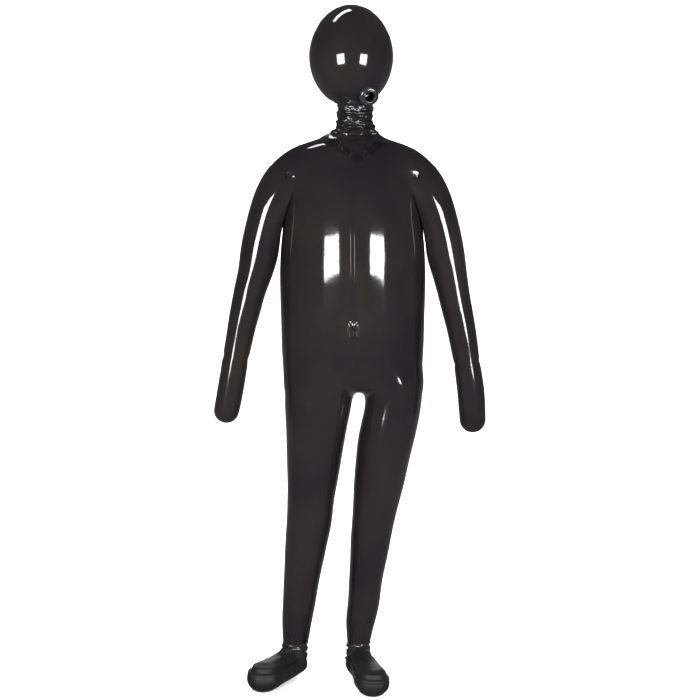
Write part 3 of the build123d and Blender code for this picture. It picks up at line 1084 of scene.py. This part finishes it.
def sleeve_tapes(side):
    """The seams outside and inside the arm."""
    arm = ARMS[side]
    for which, towards, start_s in (("outer", 1.0, 70.0), ("inner", -1.0, 150.0)):
        s = np.arange(start_s, WRIST_S[side] - 8, 6.0)
        line = arm.place(s).T
        heading = arm.place(s + 1).T - line
        heading /= np.linalg.norm(heading, axis=1, keepdims=True)
        out_dir = np.stack([-heading[:, 1], heading[:, 0]], 1) * SIGN[side]
        q = line + out_dir * towards * (np.interp(s, arm.s, arm.r) + 2)[:, None]
        path = level_path(q[:, 0], q[:, 1])
        name = f"tape_{side}_sleeve_{which}"
        strip = tape_strip(name, path, Y_AXIS, sleeve_field(side), 9.0)
        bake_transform(strip)
        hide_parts(f"{side}_sleeve_{which}_seam")


def mitt_tape(side):
    """The seam round the mitt's rim: down one edge, round the end and up the other."""
    arm = ARMS[side]
    t = arm.line[-1] - arm.line[-2]
    t /= np.linalg.norm(t)
    out_dir = np.array([-t[1], t[0]]) * SIGN[side]
    s = np.arange(WRIST_S[side] + 12, arm.length, 5.0)
    edge = out_dir * (np.interp(s, arm.s, arm.r) + 1)[:, None]
    line = arm.place(s).T
    angle = math.pi * np.arange(1, 16)[:, None] / 16
    end = arm.line[-1] + (out_dir * np.cos(angle) + t * np.sin(angle)) * (arm.r[-1] + 1)
    rows = np.concatenate([line + edge, end, (line - edge)[::-1]])
    path = level_path(rows[:, 0], rows[:, 1])
    strip = tape_strip(f"tape_{side}_mitt", path, Y_AXIS, arm.field, 8.0, 0.6)
    riding(strip, f"{side}_hand", f"{side}_mitt_seam")


def head_tape():
    """The seam over the head, from one side of the neck to the other."""
    angles = np.linspace(-0.5 * math.pi + 0.50, 1.5 * math.pi - 0.50, 90)
    path = level_path(
        HEAD_MIDDLE[0] + HEAD_RADIUS * np.cos(angles),
        HEAD_MIDDLE[2] + HEAD_HALF * np.sin(angles),
    )
    riding(tape_strip("tape_head", path, Y_AXIS, head_field, 10.0), "head", "head_seam")


centre_tapes()
for side in ("right", "left"):
    body_tapes(side)
    sleeve_tapes(side)
    mitt_tape(side)
head_tape()

# Puckered patch where the lower front seam ends: four creases that meet in a star
PUCKER_MIDDLE = (2.0, 925.0)
PUCKER_SIZE = (17.0, 31.0)
BELLY_Y = MID_Y - 122.0
PUCKER_CREASES = [
    ((-1, 5), (-10, 22)), ((1, 5), (12, 21)), ((0, 6), (-6, -27)), ((1, 3), (8, -29)),
]


def pucker_height(u, v):
    """Raised lips on both sides of each crease, in mm, faded towards the patch's rim."""
    height = np.zeros_like(u)
    for (u0, v0), (u1, v1) in PUCKER_CREASES:
        along = ((u - u0) * (u1 - u0) + (v - v0) * (v1 - v0)) / ((u1 - u0) ** 2 + (v1 - v0) ** 2)
        along = np.clip(along, 0, 1)
        gap = np.hypot(u - u0 - along * (u1 - u0), v - v0 - along * (v1 - v0))
        lips = 1.7 * np.exp(-(((gap - 3.6) / 1.9) ** 2))
        groove = 2.4 * np.exp(-((gap / 1.7) ** 2))
        height += (1 - 0.6 * along) * (lips - groove)
    rim = np.hypot(u / PUCKER_SIZE[0], v / PUCKER_SIZE[1])
    return (0.7 + height) * (1 - smooth_step(rim, 0.7, 1.0)) - 0.35 * smooth_step(rim, 0.85, 1.0)


def pucker_patch(count=96, rounds=30):
    """The small patch of film on the belly, in rings from its middle."""
    a = np.linspace(0, 2 * np.pi, count, endpoint=False)
    rings = []
    for k in range(rounds):
        share = (k + 0.2) / (rounds - 0.8)
        u = PUCKER_SIZE[0] * share * np.cos(a)
        v = PUCKER_SIZE[1] * share * np.sin(a)
        p = np.stack([PUCKER_MIDDLE[0] + u, np.full(count, BELLY_Y), PUCKER_MIDDLE[1] + v], 1)
        p, n = onto(body_field, p, 5)
        rings.append(p + n * pucker_height(u, v)[:, None])
    verts, faces = ring_mesh(rings)
    faces.append(tuple(range(count))[::-1])
    patch = new_object("lower_seam_pucker", verts, faces, CREASED_PAINTED_SHADE)
    riding(patch, "torso", "lower_seam_patch")


pucker_patch()


# ---------------------------------------------------------------- stage, light, camera
def plain_material(name, colour):
    """An even, dull colour."""
    mat = bpy.data.materials.new(name)
    mat.use_nodes = True
    p = mat.node_tree.nodes["Principled BSDF"]
    p.inputs["Base Color"].default_value = (*colour, 1)
    p.inputs["Roughness"].default_value = 0.9
    return mat


# Where the floor starts to curve up, the curve's radius, the wall's height and half width (m)
WALL_FOOT, WALL_BEND, WALL_TOP, WALL_SIDE = 4.5, 1.2, 6.5, 6.0
WALL_Y = WALL_FOOT + WALL_BEND


def stage_sheet():
    """A pale floor that curves up into a backdrop behind the figure."""
    profile = [(-WALL_SIDE, 0.0), (WALL_FOOT, 0.0)]
    for k in range(1, 11):
        t = 0.5 * math.pi * k / 10
        profile.append((WALL_FOOT + WALL_BEND * math.sin(t), WALL_BEND * (1 - math.cos(t))))
    profile.append((WALL_Y, WALL_TOP))
    verts = []
    faces = []
    for y, z in profile:
        verts += [(-WALL_SIDE, y, z), (WALL_SIDE, y, z)]
    for i in range(len(profile) - 1):
        faces.append((2 * i, 2 * i + 1, 2 * i + 3, 2 * i + 2))
    mesh = bpy.data.meshes.new("stage")
    mesh.from_pydata(verts, [], faces)
    mesh.polygons.foreach_set("use_smooth", [True] * len(mesh.polygons))
    obj = bpy.data.objects.new("stage", mesh)
    bpy.context.collection.objects.link(obj)
    mesh.materials.append(plain_material("stage_white", (0.93, 0.93, 0.93)))
    obj.visible_glossy = False


def area_light(name, at, look, width, height, power):
    """A rectangular light aimed at a point."""
    light = bpy.data.lights.new(name, "AREA")
    light.shape = "RECTANGLE"
    light.size = width
    light.size_y = height
    light.energy = power
    obj = bpy.data.objects.new(name, light)
    bpy.context.collection.objects.link(obj)
    obj.location = at
    obj.rotation_euler = (Vector(look) - Vector(at)).to_track_quat("-Z", "Y").to_euler()
    return obj


def dim_room():
    """A dim studio: a little more light comes from the floor's side than from above."""
    world = bpy.data.worlds.new("room")
    world.use_nodes = True
    nodes, links = world.node_tree.nodes, world.node_tree.links
    background = nodes["Background"]
    background.inputs["Color"].default_value = (0.95, 0.93, 1.0, 1)
    place = nodes.new("ShaderNodeTexCoord")
    split = nodes.new("ShaderNodeSeparateXYZ")
    links.new(place.outputs["Generated"], split.inputs["Vector"])
    level = nodes.new("ShaderNodeMapRange")
    level.interpolation_type = "SMOOTHSTEP"
    level.inputs["From Min"].default_value = -0.35
    level.inputs["From Max"].default_value = 0.25
    level.inputs["To Min"].default_value = 0.28
    level.inputs["To Max"].default_value = 0.135
    links.new(split.outputs["Z"], level.inputs["Value"])
    links.new(level.outputs["Result"], background.inputs["Strength"])
    bpy.context.scene.world = world


def polar(azimuth, distance, z):
    """A place round the figure: degrees from straight ahead, metres and height."""
    t = math.radians(azimuth)
    return (math.sin(t) * distance, -math.cos(t) * distance, z)


stage_sheet()
dim_room()
CHEST = (0, 0, 1.15)
left_window = area_light("window_left", polar(-29, 3.3, 1.20), CHEST, 1.15, 1.04, 295)
right_window = area_light("window_right", polar(34, 3.3, 1.20), CHEST, 1.10, 1.02, 280)
left_window.rotation_euler.rotate_axis("Z", math.radians(5))
right_window.rotation_euler.rotate_axis("Z", math.radians(-5))
strip = area_light("high_strip", (-0.62, 0.36, 3.5), (-0.1, 0, 1.5), 1.4, 0.30, 46)
strip.rotation_euler.rotate_axis("Z", math.radians(-26))
area_light("back", (0, 3.0, 1.7), CHEST, 1.2, 1.4, 70)
washes = [
    area_light("top", (0, 0.4, 4.2), (0, 0.3, 0), 3.0, 2.4, 90),
    area_light("back_wash_left", (-3.2, 3.3, 2.6), (0, WALL_Y, 1.6), 1.2, 2.4, 95),
    area_light("back_wash_right", (3.2, 3.3, 2.6), (0, WALL_Y, 1.6), 1.2, 2.4, 95),
    area_light("floor_wash", (0, 3.6, 4.4), (0, 3.8, 0), 4.0, 2.0, 110),
]
for wash in washes:
    wash.visible_glossy = False
for obj in bpy.data.objects:
    if obj.type == "LIGHT":
        obj.visible_camera = False

camera_data = bpy.data.cameras.new("camera")
camera_data.sensor_width = 36.0
camera_data.lens = 72.36
camera = bpy.data.objects.new("camera", camera_data)
bpy.context.collection.objects.link(camera)
camera.location = (-0.006, -3.6, 1.2)
camera.rotation_euler = (math.radians(90 - 5.208), 0, 0)
bpy.context.scene.camera = camera
bpy.context.scene.view_settings.view_transform = "Standard"
